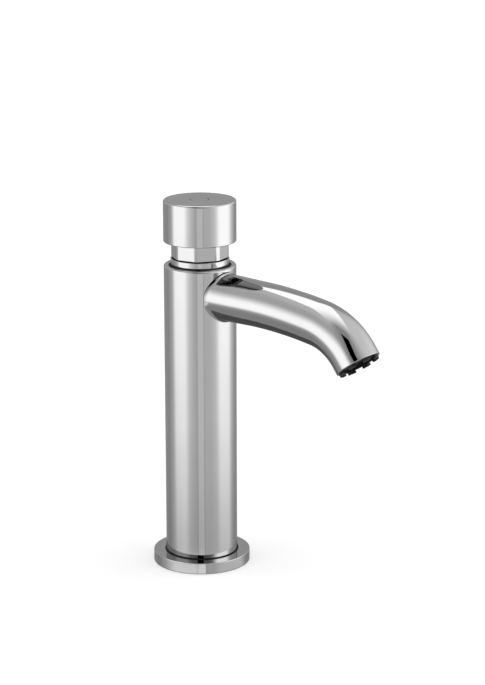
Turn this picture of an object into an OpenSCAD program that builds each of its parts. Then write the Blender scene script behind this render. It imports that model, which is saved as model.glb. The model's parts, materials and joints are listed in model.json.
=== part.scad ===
// Push-button timed tap: pillar body, bent spout, self-closing cartridge and under-deck fixing.
// Millimetres. +Z is up, the spout points along -Y, and the deck's top surface is z = 0.

/* [Base] */
// Diameter of the base flange
flange_d = 51.4; // [46:0.1:64]
// Thickness of the base flange
flange_t = 6; // [4:0.1:8]
// Rounding of the flange's top and bottom edges
flange_edge = 0.3; // [0.2:0.1:1.2]
// Width of the deck gasket, midway between the flange's hole and its edge
gasket_w = 6.2; // [4:0.1:8]
// Thickness of the deck gasket, flush in the flange's underside
gasket_t = 2; // [1:0.1:2.8]
// Thickness of the black ring between body and flange
base_seal_t = 0.3; // [0.2:0.1:2]
// How far that ring stands out past the body
base_seal_lip = 0.7; // [0:0.1:1]

/* [Body] */
// Height of the body, from its bottom edge to its top rim
body_h = 156.5; // [130:0.1:220]
// Wall of the body
body_wall = 4; // [3:0.1:6]
// Width of the water space around the cartridge
water_gap = 4; // [3:0.1:7]
// Rounding of the body's top edge
body_edge = 1.2; // [0.4:0.1:2]
// Rounding of the body's lower edge
body_low_edge = 0.2; // [0.1:0.1:1]
// Depth of the mouth that the head's seal lies in
mouth_depth = 1.5; // [1:0.1:3]
// Length of thread for the cartridge's head
mouth_thread_l = 5.4; // [4:0.1:8]
// Wall of the foot that centres the body in the flange
foot_wall = 2.8; // [2:0.1:4]
// Height of the foot's lower end above the deck
foot_lift = 1.5; // [0.5:0.1:3]
// Thickness of the floor above the inlet shank
floor_t = 3; // [2:0.1:6]
// Thickness of the shelf under the cartridge
shelf_t = 2.5; // [2:0.1:5]

/* [Inlet and fixing] */
// Outer diameter of the inlet shank, a half-inch pipe thread
shank_d = 20.955; // [16.662:0.001:26.441]
// Bore of the inlet shank
shank_bore_d = 14; // [10:0.5:16]
// Length of the shank below the deck's top
shank_drop = 52; // [45:1:80]
// Length of the shank's thread inside the body
shank_grip = 15.5; // [10:0.5:25]
// Length of free thread at the shank's lower end, for the supply hose
hose_thread_l = 22; // [14:1:24]
// Width of the relief groove above the free thread
relief_w = 2; // [1:0.1:3]
// Depth of the relief groove
relief_depth = 0.9; // [0.5:0.1:1.5]
// Thickness of the deck that the tap is clamped to
deck_t = 12; // [3:1:14]
// Diameter of the rubber washer under the deck
fixing_gasket_d = 38; // [32:0.5:50]
// Thickness of the rubber washer
fixing_gasket_t = 3; // [2:0.1:5]
// Diameter of the steel washer under the deck
fixing_washer_d = 40; // [32:0.5:50]
// Thickness of the steel washer
fixing_washer_t = 2; // [1:0.1:3]
// Wall of the backnut at its flats
backnut_wall = 3.4; // [2.5:0.1:7]
// Height of the backnut
backnut_h = 9; // [6:0.1:12]
// Width of the step that the inlet strainer lies on
strainer_step = 1.2; // [0.6:0.1:2]
// Thickness of the inlet strainer
strainer_t = 1.8; // [1:0.1:3]
// Diameter of the strainer's holes
strainer_hole_d = 1.6; // [0.8:0.1:3]
// Width of metal between the strainer's holes
strainer_web = 0.9; // [0.5:0.1:2]

/* [Spout] */
// Distance of the spout's axis below the body's top rim
spout_drop = 15; // [13:0.1:30]
// Diameter of the spout's cone where it would meet the body's axis
spout_root_d = 25.4; // [23:0.1:28]
// Diameter of the spout from the end of its cone to the outlet
spout_tip_d = 23.9; // [22:0.1:26]
// Length of the level stretch, from the body's axis
spout_run = 40; // [32:0.5:70]
// Radius of the first, gentle bend
gentle_r = 265; // [150:1:400]
// Angle of the gentle bend
gentle_angle = 9; // [4:0.5:14]
// Radius of the second, tight bend
tight_r = 36; // [28:0.5:60]
// Angle of the tight bend
tight_angle = 44; // [30:1:70]
// Length of the straight stretch at the outlet
spout_tip_l = 3.8; // [2:0.1:10]
// Wall of the spout
spout_wall = 3.4; // [2.4:0.1:4]
// Length of solid metal between the body and the spout's bore
spout_root_l = 7; // [4:0.5:10]
// Diameter of the spigot that screws into the body
spigot_d = 13.16; // [12:0.01:16]
// Wall of the spigot
spigot_wall = 2.5; // [2:0.1:4]
// Section of the spigot's seal ring
spigot_ring_d = 1.4; // [1:0.1:1.6]
// Gap between the spout's root and the body
joint_gap = 0.25; // [0.1:0.05:0.3]

/* [Aerator] */
// Wall of the outlet's lip around the aerator
lip_wall = 0.95; // [0.7:0.05:1.5]
// Depth of the aerator's housing inside the outlet
aerator_depth = 7; // [6:0.1:9]
// How far the notched rim stands out of the outlet
aerator_stand = 1.5; // [0.6:0.1:2]
// Number of key notches in the rim
notch_count = 8; // [6:1:10]
// Width of a key notch
notch_w = 3.8; // [2:0.1:4.5]
// Depth of a key notch
notch_depth = 1.3; // [0.5:0.1:1.5]
// Wall of the housing around its inner parts
aerator_wall = 1.3; // [1:0.1:2]
// Width of the ledge that the insert lies on
aerator_ledge = 0.8; // [0.4:0.1:1.5]
// Depth of the insert's lower face inside the outlet
insert_inset = 1.2; // [0.6:0.1:2]
// Thickness of the honeycomb insert
insert_t = 3; // [2:0.1:3.5]
// Thickness of the screen above the insert
screen_t = 1; // [0.6:0.1:1.5]
// Thickness of the aerator's gasket
aerator_gasket_t = 1.5; // [1:0.1:2]
// Size of one honeycomb cell across its corners
cell_d = 2.3; // [1.5:0.1:4]
// Least wall between honeycomb cells
cell_wall = 0.3; // [0.2:0.05:1]

/* [Cartridge] */
// Width of the head's octagon across its flats
octagon_af = 28.5; // [26:0.1:29]
// Diameter over the octagon's narrow lands
octagon_land_d = 30; // [29.2:0.05:31]
// Turn of the octagon about the vertical axis
octagon_turn = -9; // [-22:1:22]
// Height of the octagon hidden inside the button
octagon_lap = 2; // [1:0.1:3]
// Height of the head's round collar
collar_h = 3.2; // [2:0.1:5]
// Height of the groove between the collar and the octagon
neck_h = 0.5; // [0.3:0.1:1]
// Depth of that groove below the octagon's flats
neck_depth = 0.7; // [0.4:0.1:1.5]
// How far the collar's edge lies inside the seal's edge
collar_inset = 0.4; // [0.2:0.1:1.2]
// Thickness of the black seal under the collar
head_seal_t = 1.7; // [1.2:0.1:3]
// Width of that seal
head_seal_w = 2.5; // [2:0.1:3]
// Length of the head's threaded skirt below the collar
skirt_l = 11; // [10:0.1:14]
// Wall of the head's skirt
skirt_wall = 1.9; // [1.5:0.1:2.4]
// Length of the barrel held inside the skirt
barrel_lap = 6; // [4:0.1:7]
// Bore of the timing chamber
chamber_d = 19; // [18:0.1:22]
// Wall of the barrel around the timing chamber
barrel_wall = 1.5; // [1:0.1:2.5]
// Length of the barrel
barrel_l = 41; // [38:0.5:55]
// Thickness of the barrel's floor
barrel_floor_t = 4; // [3.5:0.1:6]
// Length of the boss that joins barrel and valve cage
boss_l = 1.5; // [1:0.1:2]
// Length of the cage's sealing land
cage_land_l = 10.5; // [8:0.1:16]
// Step from the barrel's outside to the sealing land
land_step = 1; // [0.6:0.1:1.5]
// Wall of the cage around the outlet chamber
cage_wall = 2.5; // [1.5:0.1:3]
// Space around the valve's cup, below the seat
valve_clear = 0.8; // [0.4:0.1:1.2]
// Depth of the seat inside the cage
seat_depth = 4; // [3.5:0.1:5]
// Thickness of the valve seat
seat_t = 3; // [2:0.1:4]
// Diameter of the hole in the seat
seat_d = 11; // [8:0.1:12]
// Number of outlet ports
port_count = 4; // [3:1:6]
// Diameter of an outlet port
port_d = 5.6; // [3:0.1:8]
// Section of the cage's seal ring
cage_ring_d = 1.4; // [1:0.1:1.8]
// Diameter of the timing pin
pin_d = 1; // [0.8:0.1:1.2]
// Depth of the timing pin in the barrel's floor
pin_root = 2; // [1:0.1:3]
// Length of the stem's guide bush
guide_l = 6; // [4:0.1:7]
// Wall of the stem's guide bush
guide_wall = 2; // [1:0.1:3]

/* [Plunger] */
// Diameter of the stem, from the button to the piston
stem_d = 8; // [7:0.1:9]
// Diameter of the valve rod, below the piston
rod_d = 6; // [5:0.1:6.5]
// Space above the piston when the valve is shut
piston_gap = 2; // [1:0.1:4]
// Length of the piston
piston_l = 9; // [8:0.1:12]
// Depth of the lip seal's groove in the piston
lip_groove = 2.2; // [1.5:0.1:2.3]
// Height of the lip seal
lip_h = 3.4; // [2.5:0.1:4.5]
// Thickness of the clip under the piston
clip_t = 0.8; // [0.6:0.1:1]
// Width of that clip
clip_w = 1.8; // [1:0.1:2]
// Diameter of the valve's rubber washer
washer_d = 15; // [13:0.1:16.4]
// Thickness of the valve's rubber washer
washer_t = 3; // [2:0.1:4]
// Thickness of the cup that holds the washer
cup_t = 2; // [1.5:0.1:3]
// Wall and height of the cup's rim around the washer
cup_rim = 0.6; // [0.4:0.1:1]
// Wall of the rod's nut at its flats
rod_nut_wall = 1.9; // [1.2:0.1:3]
// Height of the rod's nut
rod_nut_h = 4; // [3:0.1:6]
// Length of rod below its nut
rod_end = 1; // [0.5:0.1:3]
// Section of the stem's seal ring
stem_ring_d = 2; // [1.5:0.1:2.4]
// Section of the rod's seal ring
rod_ring_d = 1.6; // [1.2:0.1:1.8]
// Wire of the return spring
wire_d = 1.4; // [1:0.1:1.6]
// Number of spring coils
coil_count = 7; // [5:1:8]
// Space between the spring and the chamber's wall
coil_clear = 0.7; // [0.4:0.1:0.9]

/* [Button] */
// Height of the button's rim above the body's top rim
button_gap = 12.2; // [12:0.1:20]
// Height of the button
button_h = 21.9; // [20:0.1:32]
// Wall of the button's skirt
button_wall = 2.5; // [1.5:0.1:4]
// Space between the button's skirt and the head inside it
skirt_clear = 1.2; // [0.5:0.05:4]
// Thickness of the button's top
button_roof = 3.6; // [2.5:0.1:5]
// Rounding of the button's top edge
button_edge = 1; // [0.4:0.1:2]
// Rounding of the button's lower edge
button_rim_edge = 0.4; // [0.3:0.1:1.2]
// Wall of the boss that takes the stem
button_boss_wall = 2.9; // [1.5:0.1:6]
// Travel of the button when pressed
press_travel = 9; // [5:0.5:10]
// How far the plug in the button's top reaches past the screw's head
plug_lap = 0.55; // [0.3:0.05:2]
// Thickness of that plug
plug_t = 1.6; // [1:0.1:2]
// Diameter of the button screw's head
screw_head_d = 8.4; // [7:0.1:10]
// Height of the button screw's head
screw_head_h = 2.6; // [2.4:0.1:3.4]
// Width of the screw's hexagon socket across its corners
screw_key_d = 4.6; // [3:0.1:5]
// Depth of the screw's hexagon socket
screw_key_depth = 1.6; // [1:0.1:2]
// Diameter of the button screw's thread
screw_d = 5; // [4:0.1:5.5]
// Length of the button screw below its head
screw_l = 14; // [8:0.5:20]
// Thickness of metal between the screw's head and the stem
screw_web = 1.6; // [1:0.1:3]

/* [Clearances] */
// Radial clearance of threads and fixed fits
fit_clear = 0.1; // [0.05:0.01:0.2]
// Radial clearance of sliding fits
run_clear = 0.08; // [0.03:0.01:0.1]
// Clearance around seal rings
ring_clear = 0.05; // [0.02:0.01:0.08]
// Room beside a seal ring in its groove
ring_room = 0.2; // [0.1:0.05:0.3]
// Room around flat seals
seal_room = 0.3; // [0.1:0.05:0.3]
// Radial clearance of the washers on the shank
washer_clear = 0.25; // [0.1:0.05:0.3]
// Gap between the button's boss and the head at full travel
stop_gap = 0.1; // [0.05:0.05:0.3]

/* [Hidden] */
$fn = 96;
// How far a cut runs past the face that it starts from
over = 1;

// Radii of the plunger and the cartridge, from the axis outwards
stem_r = stem_d / 2;
rod_r = rod_d / 2;
guide_r = stem_r + run_clear + guide_wall;
chamber_r = chamber_d / 2;
piston_r = chamber_r - run_clear;
barrel_r = chamber_r + barrel_wall;
land_r = barrel_r + land_step;
cage_bore_r = barrel_r - cage_wall;
cage_ring_r = land_r + fit_clear - cage_ring_d - ring_clear;
head_thread_r = barrel_r + fit_clear + skirt_wall;
head_seal_in_r = head_thread_r + seal_room;
head_seal_r = head_seal_in_r + head_seal_w;
collar_r = head_seal_r - collar_inset;
octagon_corner_r = octagon_af / 2 / cos(180 / 8);
button_bore_r = max(octagon_land_d / 2, collar_r) + skirt_clear;
button_r = button_bore_r + button_wall;
button_boss_r = stem_r + fit_clear + button_boss_wall;
plug_r = screw_head_d / 2 + plug_lap;
washer_r = washer_d / 2;
cup_r = washer_r + fit_clear + cup_rim;
valve_bore_r = cup_r + valve_clear;
rod_groove_r = rod_r + rod_ring_d + 2 * ring_clear;
lip_groove_r = piston_r - lip_groove;
pin_offset = (rod_groove_r + lip_groove_r) / 2;
clip_groove_r = rod_r - clip_w / 4;

// Radii of the body, the base and the fixing
mouth_r = head_seal_r + seal_room;
cavity_r = barrel_r + water_gap;
body_r = cavity_r + body_wall;
shank_r = shank_d / 2;
shank_bore_r = shank_bore_d / 2;
foot_r = shank_r + fit_clear + foot_wall;
flange_r = flange_d / 2;
gasket_mid_r = (foot_r + fit_clear + flange_r) / 2;
gasket_in_r = gasket_mid_r - gasket_w / 2;
gasket_out_r = gasket_mid_r + gasket_w / 2;
strainer_r = shank_bore_r + strainer_step;
backnut_r = (shank_r + fit_clear + backnut_wall) / cos(180 / 6);
rod_nut_r = (rod_r + fit_clear + rod_nut_wall) / cos(180 / 6);

// Heights, from the deck upwards
body_z = flange_t + base_seal_t;
body_top = body_z + body_h;
floor_z = foot_lift + shank_grip;
head_seal_z = body_top - mouth_depth;
mouth_thread_z = head_seal_z - mouth_thread_l;
collar_z = head_seal_z + head_seal_t;
neck_z = collar_z + collar_h;
octagon_z = neck_z + neck_h;
button_z = body_top + button_gap;
octagon_top = button_z + octagon_lap;
button_top = button_z + button_h;
spout_z = body_top - spout_drop;

// Heights of the cartridge, from its head downwards
skirt_z = collar_z - skirt_l;
barrel_top = skirt_z + barrel_lap;
barrel_z = barrel_top - barrel_l;
chamber_z = barrel_z + barrel_floor_t;
cage_z = barrel_z - boss_l - port_d - 2 * ring_room - cage_land_l;
seat_z = cage_z + seat_depth;
land_top = cage_z + cage_land_l;
shelf_z = cage_z - shelf_t;
port_z = land_top + port_d / 2 + ring_room;
cage_ring_z = cage_z + cage_land_l / 2;
rod_ring_z = barrel_z + barrel_floor_t / 2;
stem_ring_z = (collar_z + octagon_top) / 2;

// Heights of the plunger
piston_top = barrel_top - piston_gap;
piston_z = piston_top - piston_l;
cup_z = seat_z - washer_t - cup_t;
rod_nut_z = cup_z - rod_nut_h;
rod_z = rod_nut_z - rod_end;
boss_z = octagon_top + press_travel + stop_gap;
screw_seat_z = button_top - plug_t - ring_room - screw_head_h;
stem_top = screw_seat_z - screw_web;
lip_z = (piston_z + piston_top - lip_h) / 2;

// Stack under the deck, and the relief groove in the shank
relief_z = hose_thread_l - shank_drop;
fixing_gasket_z = -deck_t - fixing_gasket_t;
fixing_washer_z = fixing_gasket_z - fixing_washer_t;
backnut_z = fixing_washer_z - backnut_h;

// Spout and outlet: its stretches overlap by a short lap and differ by a hair in radius
stretch_lap = 0.5;
stretch_step = 0.02;
spout_tip_r = spout_tip_d / 2;
spout_bore_r = spout_tip_r - spout_wall;
spigot_r = spigot_d / 2;
spigot_hole_r = spigot_r + fit_clear;
spigot_ring_x = cavity_r + body_wall / 2;
spigot_ring_r = spigot_hole_r - spigot_ring_d - ring_clear;
spout_bore_x = body_r + spout_root_l;
recess_r = spout_tip_r - lip_wall;
recess_depth = aerator_depth + aerator_gasket_t;
aerator_r = recess_r - fit_clear;
insert_r = aerator_r - aerator_wall - fit_clear;
ledge_r = insert_r - aerator_ledge;

// Colours
chrome = "#c9ccd0";
brass = "#b8923a";
steel = "#8f9499";
black = "#1c1c1e";
acetal = "#e6e4dc";

// Half section of a disc with rounded outer edges
module edge_section(r, low, high, low_edge, high_edge) {
    translate([0, low + low_edge])
        square([r, high - low - low_edge - high_edge]);
    if (low_edge > 0) {
        translate([0, low])
            square([r - low_edge, low_edge]);
        translate([r - low_edge, low + low_edge])
            circle(r = low_edge);
    }
    if (high_edge > 0) {
        translate([0, high - high_edge])
            square([r - high_edge, high_edge]);
        translate([r - high_edge, high - high_edge])
            circle(r = high_edge);
    }
}

// A value of a row, or zero where the row is shorter
function row_value(row, i) = is_undef(row[i]) ? 0 : row[i];

// Turned piece: a row is [radius, low, high, low rounding, high rounding], and a bore is [radius, low, high]
module turned(rows, bores = []) {
    rotate_extrude()
        difference() {
            union() {
                for (row = rows)
                    edge_section(row[0], row[1], row[2], row_value(row, 3), row_value(row, 4));
            }
            for (bore = bores)
                translate([0, bore[1]])
                    square([bore[0], bore[2] - bore[1]]);
        }
}

// Flat ring
module ring(r_in, r_out, low, high) {
    turned([[r_out, low, high]], [[r_in, low, high]]);
}

// Seal ring of round section, lying flat at height z
module seal_ring(r_in, section, z) {
    rotate_extrude()
        translate([r_in + section / 2, z])
            circle(d = section);
}

// Groove for a seal ring, cut inwards to r_in and outwards to r_out
module ring_groove(r_in, r_out, section, z) {
    groove_h = section + 2 * ring_room;
    low = z - groove_h / 2;
    turned([[r_out, low, low + groove_h]], r_in > 0 ? [[r_in, low, low + groove_h]] : []);
}

// Places its children on a hexagonal grid inside a circle of radius r
module hex_grid(r, pitch) {
    rows = ceil(r / pitch) + 1;
    row_step = pitch * sqrt(3) / 2;
    for (row = [-rows:rows])
        for (column = [-rows:rows]) {
            x = (column + (row % 2 == 0 ? 0 : 0.5)) * pitch;
            y = row * row_step;
            if (norm([x, y]) <= r)
                translate([x, y, 0])
                    children();
        }
}

// Disc with a grid of holes of the given number of sides, with a web between them
module sieve(r, low, high, hole_d, web, sides) {
    difference() {
        turned([[r, low, high]]);
        translate([0, 0, low - over])
            hex_grid(r - hole_d, hole_d + web)
                cylinder(d = hole_d, h = high - low + 2 * over, $fn = sides);
    }
}

// Frame of the spout: X runs out along its axis from the body's axis
module at_spout() {
    translate([0, 0, spout_z])
        rotate([0, 0, -90])
            children();
}

// Frame at the end of a downward bend that starts along X
module after_bend(bend_r, angle) {
    translate([bend_r * sin(angle), 0, -bend_r * (1 - cos(angle))])
        rotate([0, angle, 0])
            children();
}

// Rod along a downward bend that starts along X, with a short lead-in before the start
module bend(bend_r, angle, r) {
    lead = stretch_lap / bend_r * 180 / PI;
    translate([0, 0, -bend_r])
        rotate([0, -90, -90])
            rotate([0, 0, -lead])
                rotate_extrude(angle = angle + lead)
                    translate([bend_r, 0])
                        circle(r = r);
}

// Frame of the outlet: Z points out of it, with z = 0 in the plane of its lip
module at_outlet() {
    at_spout()
        translate([spout_run, 0, 0])
            after_bend(gentle_r, gentle_angle)
                after_bend(tight_r, tight_angle)
                    translate([spout_tip_l, 0, 0])
                        rotate([0, 90, 0])
                            children();
}

// Bends and straight tip of the spout: each stretch starts inside the one before, a hair thinner
module spout_curve(r) {
    translate([spout_run, 0, 0]) {
        bend(gentle_r, gentle_angle, r + 2 * stretch_step);
        after_bend(gentle_r, gentle_angle) {
            bend(tight_r, tight_angle, r + stretch_step);
            after_bend(tight_r, tight_angle)
                translate([-stretch_lap, 0, 0])
                    rotate([0, 90, 0])
                        cylinder(r = r, h = spout_tip_l + stretch_lap);
        }
    }
}

// Level stretch of the spout, from one distance along its axis to the end of the stretch
module spout_level(from, r1, r2) {
    translate([from, 0, 0])
        rotate([0, 90, 0])
            cylinder(r1 = r1, r2 = r2 + 3 * stretch_step, h = spout_run - from);
}

module base_flange() {
    color(chrome)
        difference() {
            turned(
                [[flange_r, 0, flange_t, flange_edge, flange_edge]],
                [[foot_r + fit_clear, 0, flange_t]]
            );
            ring(gasket_in_r - seal_room, gasket_out_r + seal_room, 0, gasket_t);
        }
}

module deck_gasket() {
    color(black)
        ring(gasket_in_r, gasket_out_r, 0, gasket_t);
}

module base_seal() {
    color(black)
        ring(foot_r + seal_room, body_r + base_seal_lip, flange_t, body_z);
}

module body() {
    color(chrome)
        difference() {
            turned(
                [
                    [foot_r, foot_lift, body_z],
                    [body_r, body_z, body_top, body_low_edge, body_edge]
                ],
                [
                    [shank_r + fit_clear, foot_lift, floor_z],
                    [shank_bore_r, floor_z, floor_z + floor_t],
                    [cavity_r, floor_z + floor_t, shelf_z],
                    [valve_bore_r + fit_clear, shelf_z, cage_z],
                    [land_r + fit_clear, cage_z, land_top],
                    [cavity_r, land_top, mouth_thread_z],
                    [head_thread_r + fit_clear, mouth_thread_z, head_seal_z],
                    [mouth_r, head_seal_z, body_top]
                ]
            );
            at_spout()
                translate([barrel_r, 0, 0])
                    rotate([0, 90, 0])
                        cylinder(r = spigot_hole_r, h = body_r);
        }
}

module inlet_shank() {
    color(brass)
        difference() {
            turned(
                [[shank_r, -shank_drop, floor_z]],
                [
                    [shank_bore_r, -shank_drop, floor_z],
                    [strainer_r, -shank_drop, strainer_t - shank_drop]
                ]
            );
            ring(shank_r - relief_depth, shank_r + over, relief_z, relief_z + relief_w);
        }
}

module inlet_strainer() {
    color(steel)
        translate([0, 0, -shank_drop])
            sieve(strainer_r - fit_clear, 0, strainer_t, strainer_hole_d, strainer_web, 24);
}

module fixing_gasket() {
    color(black)
        ring(shank_r + washer_clear, fixing_gasket_d / 2, fixing_gasket_z, -deck_t);
}

module fixing_washer() {
    color(steel)
        ring(shank_r + washer_clear, fixing_washer_d / 2, fixing_washer_z, fixing_gasket_z);
}

module backnut() {
    color(brass)
        translate([0, 0, backnut_z])
            difference() {
                cylinder(r = backnut_r, h = backnut_h, $fn = 6);
                translate([0, 0, -over])
                    cylinder(r = shank_r + fit_clear, h = backnut_h + 2 * over);
            }
}

module spout() {
    color(chrome)
        difference() {
            union() {
                difference() {
                    at_spout() {
                        spout_level(0, spout_root_d / 2, spout_tip_r);
                        spout_curve(spout_tip_r);
                    }
                    translate([0, 0, spout_z - spout_root_d])
                        cylinder(r = body_r + joint_gap, h = 2 * spout_root_d);
                }
                at_spout()
                    translate([cavity_r, 0, 0])
                        rotate([0, 90, 0])
                            cylinder(r = spigot_r, h = spout_bore_x - cavity_r);
            }
            at_spout() {
                translate([cavity_r - over, 0, 0])
                    rotate([0, 90, 0])
                        cylinder(r = spigot_r - spigot_wall, h = spout_bore_x - cavity_r + 2 * over);
                spout_level(spout_bore_x, spout_bore_r + 3 * stretch_step, spout_bore_r);
                spout_curve(spout_bore_r);
                translate([spigot_ring_x, 0, 0])
                    rotate([0, 90, 0])
                        ring_groove(spigot_ring_r - ring_clear, spigot_r + over, spigot_ring_d, 0);
            }
            at_outlet()
                translate([0, 0, -recess_depth])
                    cylinder(r = recess_r, h = recess_depth + over);
        }
}

module spigot_ring() {
    color(black)
        at_spout()
            translate([spigot_ring_x, 0, 0])
                rotate([0, 90, 0])
                    seal_ring(spigot_ring_r, spigot_ring_d, 0);
}

module aerator_housing() {
    color(black)
        at_outlet()
            difference() {
                turned(
                    [[aerator_r, -aerator_depth, aerator_stand]],
                    [
                        [insert_r + fit_clear, -aerator_depth, -insert_inset],
                        [ledge_r, -insert_inset, aerator_stand]
                    ]
                );
                for (i = [0:notch_count - 1])
                    rotate([0, 0, i * 360 / notch_count])
                        translate([0, -notch_w / 2, aerator_stand - notch_depth])
                            cube([aerator_r + over, notch_w, notch_depth + over]);
            }
}

module aerator_insert() {
    color(black)
        at_outlet()
            sieve(insert_r, -insert_inset - insert_t, -insert_inset, cell_d, cell_wall, 6);
}

module aerator_screen() {
    screen_z = -insert_inset - insert_t;
    color(steel)
        at_outlet()
            sieve(insert_r, screen_z - screen_t, screen_z, cell_d / 2, cell_d / 2 + cell_wall, 24);
}

module aerator_gasket() {
    color(black)
        at_outlet()
            ring(ledge_r, aerator_r, -recess_depth, -aerator_depth);
}

module cartridge_head() {
    color(chrome)
        difference() {
            union() {
                turned(
                    [
                        [head_thread_r, skirt_z, collar_z],
                        [collar_r, collar_z, neck_z],
                        [octagon_af / 2 - neck_depth, neck_z, octagon_z]
                    ]
                );
                intersection() {
                    translate([0, 0, octagon_z])
                        cylinder(d = octagon_land_d, h = octagon_top - octagon_z);
                    translate([0, 0, octagon_z])
                        rotate([0, 0, octagon_turn])
                            cylinder(r = octagon_corner_r, h = octagon_top - octagon_z, $fn = 8);
                }
            }
            turned(
                [
                    [barrel_r + fit_clear, skirt_z - over, barrel_top],
                    [guide_r, skirt_z, barrel_top + guide_l],
                    [stem_r + run_clear, skirt_z, octagon_top + over]
                ]
            );
            ring_groove(0, stem_r + stem_ring_d + 2 * ring_clear, stem_ring_d, stem_ring_z);
        }
}

module head_seal() {
    color(black)
        ring(head_seal_in_r, head_seal_r, head_seal_z, collar_z);
}

module stem_ring() {
    color(black)
        seal_ring(stem_r + ring_clear, stem_ring_d, stem_ring_z);
}

module stem_guide() {
    color(acetal)
        ring(stem_r + run_clear, guide_r - ring_clear, barrel_top, barrel_top + guide_l);
}

module cartridge_barrel() {
    color(acetal)
        difference() {
            turned(
                [
                    [cage_bore_r - fit_clear, barrel_z - boss_l, barrel_z],
                    [barrel_r, barrel_z, barrel_top]
                ],
                [
                    [rod_r + run_clear, barrel_z - boss_l, chamber_z],
                    [chamber_r, chamber_z, barrel_top]
                ]
            );
            ring_groove(0, rod_groove_r, rod_ring_d, rod_ring_z);
            translate([0, pin_offset, chamber_z - pin_root])
                cylinder(d = pin_d + 2 * ring_clear, h = pin_root + over);
        }
}

module rod_ring() {
    color(black)
        seal_ring(rod_r + ring_clear, rod_ring_d, rod_ring_z);
}

module timing_pin() {
    color(steel)
        translate([0, pin_offset, chamber_z - pin_root])
            cylinder(d = pin_d, h = piston_z + piston_l / 2 - chamber_z + pin_root);
}

module valve_cage() {
    color(acetal)
        difference() {
            turned(
                [
                    [land_r, cage_z, land_top],
                    [barrel_r, land_top, barrel_z]
                ],
                [
                    [valve_bore_r, cage_z, seat_z],
                    [seat_d / 2, seat_z, seat_z + seat_t],
                    [cage_bore_r, seat_z + seat_t, barrel_z]
                ]
            );
            ring_groove(cage_ring_r - ring_clear, land_r + over, cage_ring_d, cage_ring_z);
            for (i = [0:port_count - 1])
                rotate([0, 0, i * 360 / port_count])
                    translate([cage_bore_r - over, 0, port_z])
                        rotate([0, 90, 0])
                            cylinder(d = port_d, h = cage_wall + 2 * over);
        }
}

module cage_ring() {
    color(black)
        seal_ring(cage_ring_r, cage_ring_d, cage_ring_z);
}

// Points of the spring's wire: rings of six points along a helix between two heights
function coil_points(r, low, high, turns, rings, sides) = [
    for (i = [0:rings], j = [0:sides - 1])
        let (
            angle = 360 * turns * i / rings,
            side = 360 * j / sides,
            reach = r + wire_d / 2 * cos(side)
        )
        [reach * cos(angle), reach * sin(angle), low + (high - low) * i / rings + wire_d / 2 * sin(side)]
];

// Triangles between the rings, and the two end caps
function coil_faces(rings, sides) = concat(
    [
        for (i = [0:rings - 1], j = [0:sides - 1])
            let (next = (j + 1) % sides)
            [i * sides + j, i * sides + next, (i + 1) * sides + j]
    ],
    [
        for (i = [0:rings - 1], j = [0:sides - 1])
            let (next = (j + 1) % sides)
            [(i + 1) * sides + j, i * sides + next, (i + 1) * sides + next]
    ],
    [for (j = [1:sides - 2]) [0, j + 1, j]],
    [for (j = [1:sides - 2]) [rings * sides, rings * sides + j, rings * sides + j + 1]]
);

module return_spring() {
    rings = 8 * coil_count;
    sides = 6;
    coil_r = chamber_r - coil_clear - wire_d / 2;
    coil_low = chamber_z + wire_d / 2 + ring_clear;
    coil_high = piston_z - wire_d / 2 - ring_clear;
    color(steel)
        polyhedron(
            points = coil_points(coil_r, coil_low, coil_high, coil_count, rings, sides),
            faces = coil_faces(rings, sides)
        );
}

module push_button() {
    color(chrome)
        difference() {
            turned(
                [[button_r, button_z, button_top, button_rim_edge, button_edge]],
                [[button_bore_r, button_z, boss_z]]
            );
            ring(button_boss_r, button_bore_r, boss_z, button_top - button_roof);
            turned(
                [
                    [stem_r + fit_clear, button_z, stem_top],
                    [screw_d / 2 + fit_clear, button_z, button_top],
                    [plug_r + fit_clear, screw_seat_z, button_top + over]
                ]
            );
        }
}

module button_plug() {
    color(chrome)
        turned([[plug_r, button_top - plug_t, button_top]]);
}

module button_screw() {
    color(steel)
        difference() {
            turned(
                [
                    [screw_d / 2, screw_seat_z - screw_l, screw_seat_z],
                    [screw_head_d / 2, screw_seat_z, screw_seat_z + screw_head_h]
                ]
            );
            translate([0, 0, screw_seat_z + screw_head_h - screw_key_depth])
                cylinder(d = screw_key_d, h = screw_key_depth + over, $fn = 6);
        }
}

module stem() {
    color(brass)
        turned(
            [
                [rod_r, rod_z, piston_z - clip_t],
                [clip_groove_r, piston_z - clip_t, piston_z],
                [rod_r, piston_z, piston_top],
                [stem_r, piston_top, stem_top]
            ],
            [[screw_d / 2 + fit_clear, screw_seat_z - screw_l - over, stem_top]]
        );
}

module piston() {
    color(acetal)
        difference() {
            turned([[piston_r, piston_z, piston_top]], [[rod_r + fit_clear, piston_z, piston_top]]);
            ring(lip_groove_r, piston_r + over, lip_z, lip_z + lip_h);
            translate([0, pin_offset, piston_z - over])
                cylinder(d = pin_d + 2 * run_clear, h = piston_l + 2 * over);
        }
}

// Lip seal: a ring whose underside is hollowed so that pressure spreads its lip
module lip_seal() {
    seal_in = lip_groove_r + ring_clear;
    seal_w = chamber_r - ring_clear - seal_in;
    color(black)
        translate([0, 0, lip_z])
            rotate_extrude()
                translate([seal_in, 0])
                    polygon(
                        [
                            [0, 0],
                            [seal_w / 4, 0],
                            [seal_w / 2, lip_h / 2],
                            [seal_w * 3 / 4, 0],
                            [seal_w, 0],
                            [seal_w, lip_h],
                            [0, lip_h]
                        ]
                    );
}

module piston_clip() {
    color(steel)
        difference() {
            ring(clip_groove_r + ring_clear, clip_groove_r + clip_w, piston_z - clip_t, piston_z);
            translate([0, -clip_w / 2, piston_z - clip_t - over])
                cube([rod_r + clip_w, clip_w, clip_t + 2 * over]);
        }
}

module valve_washer() {
    color(black)
        ring(rod_r + fit_clear, washer_r, seat_z - washer_t, seat_z);
}

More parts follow.
